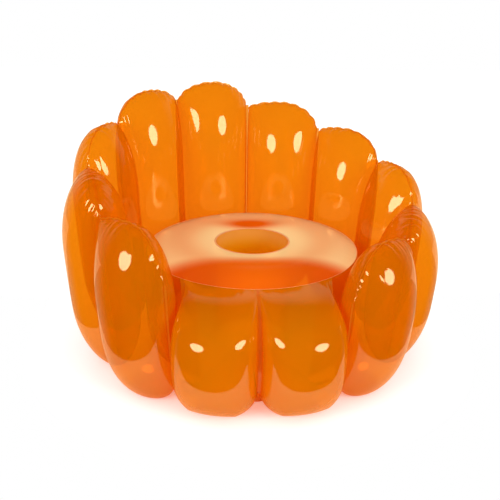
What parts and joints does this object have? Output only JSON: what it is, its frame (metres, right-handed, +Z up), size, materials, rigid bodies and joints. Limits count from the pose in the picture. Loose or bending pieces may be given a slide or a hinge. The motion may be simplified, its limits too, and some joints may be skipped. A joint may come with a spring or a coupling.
{
  "type": "inflatable armchair",
  "caption": "Inflatable tub armchair of clear orange PVC film, with puffed upright lobes and a round seat with a central well",
  "frame": {"origin": "middle of the footprint, on the floor", "axes": "+Z up, front towards -Y, +X towards the sitter's left"},
  "size_m": [1.0854, 1.076, 0.737],
  "materials": {
    "film": "clear orange PVC film, glossy, deeper where layers overlap",
    "weld": "two films fused, darker and lightly wrinkled",
    "valve": "soft moulded PVC in the film colour"
  },
  "bodies": {
    "chair": {"wall_outer_film_01": "film", "wall_inner_film_01": "film", "wall_outer_film_02": "film", "wall_inner_film_02": "film", "wall_outer_film_03": "film", "wall_inner_film_03": "film", "wall_outer_film_04": "film", "wall_inner_film_04": "film", "wall_outer_film_05": "film", "wall_inner_film_05": "film", "wall_outer_film_06": "film", "wall_inner_film_06": "film", "wall_outer_film_07": "film", "wall_inner_film_07": "film", "wall_outer_film_08": "film", "wall_inner_film_08": "film", "wall_outer_film_09": "film", "wall_inner_film_09": "film", "wall_outer_film_10": "film", "wall_inner_film_10": "film", "wall_end_weld_left": "weld", "wall_weld_01": "weld", "wall_weld_02": "weld", "wall_weld_03": "weld", "wall_weld_04": "weld", "wall_weld_05": "weld", "wall_weld_06": "weld", "wall_weld_07": "weld", "wall_weld_08": "weld", "wall_weld_09": "weld", "wall_end_weld_right": "weld", "seat_front_film_right": "film", "seat_front_film_left": "film", "seat_front_weld": "weld", "seat_side_film": "film", "seat_top_panel": "film", "seat_well_tube": "film", "seat_base_panel": "film", "wall_valve_flange": "valve", "seat_valve_flange": "valve"},
    "wall_stem": {"wall_valve_stem": "valve", "wall_valve_check_flap": "valve"},
    "wall_stopper": {"wall_valve_stopper": "valve"},
    "seat_stem": {"seat_valve_stem": "valve", "seat_valve_check_flap": "valve"},
    "seat_stopper": {"seat_valve_stopper": "valve"}
  },
  "joints": [
    {"name": "wall_stem_pop", "type": "slide", "parent": "chair", "child": "wall_stem", "axis": [0.0962, 0.9914, -0.0891], "range_m": [0, 0.011]},
    {"name": "wall_stopper_pull", "type": "slide", "parent": "wall_stem", "child": "wall_stopper", "axis": [0.0962, 0.9914, -0.0891], "range_m": [0, 0.012]},
    {"name": "seat_stem_pop", "type": "slide", "parent": "chair", "child": "seat_stem", "axis": [0, 0, -1], "range_m": [0, 0.011]},
    {"name": "seat_stopper_pull", "type": "slide", "parent": "seat_stem", "child": "seat_stopper", "axis": [0, 0, -1], "range_m": [0, 0.012]}
  ]
}
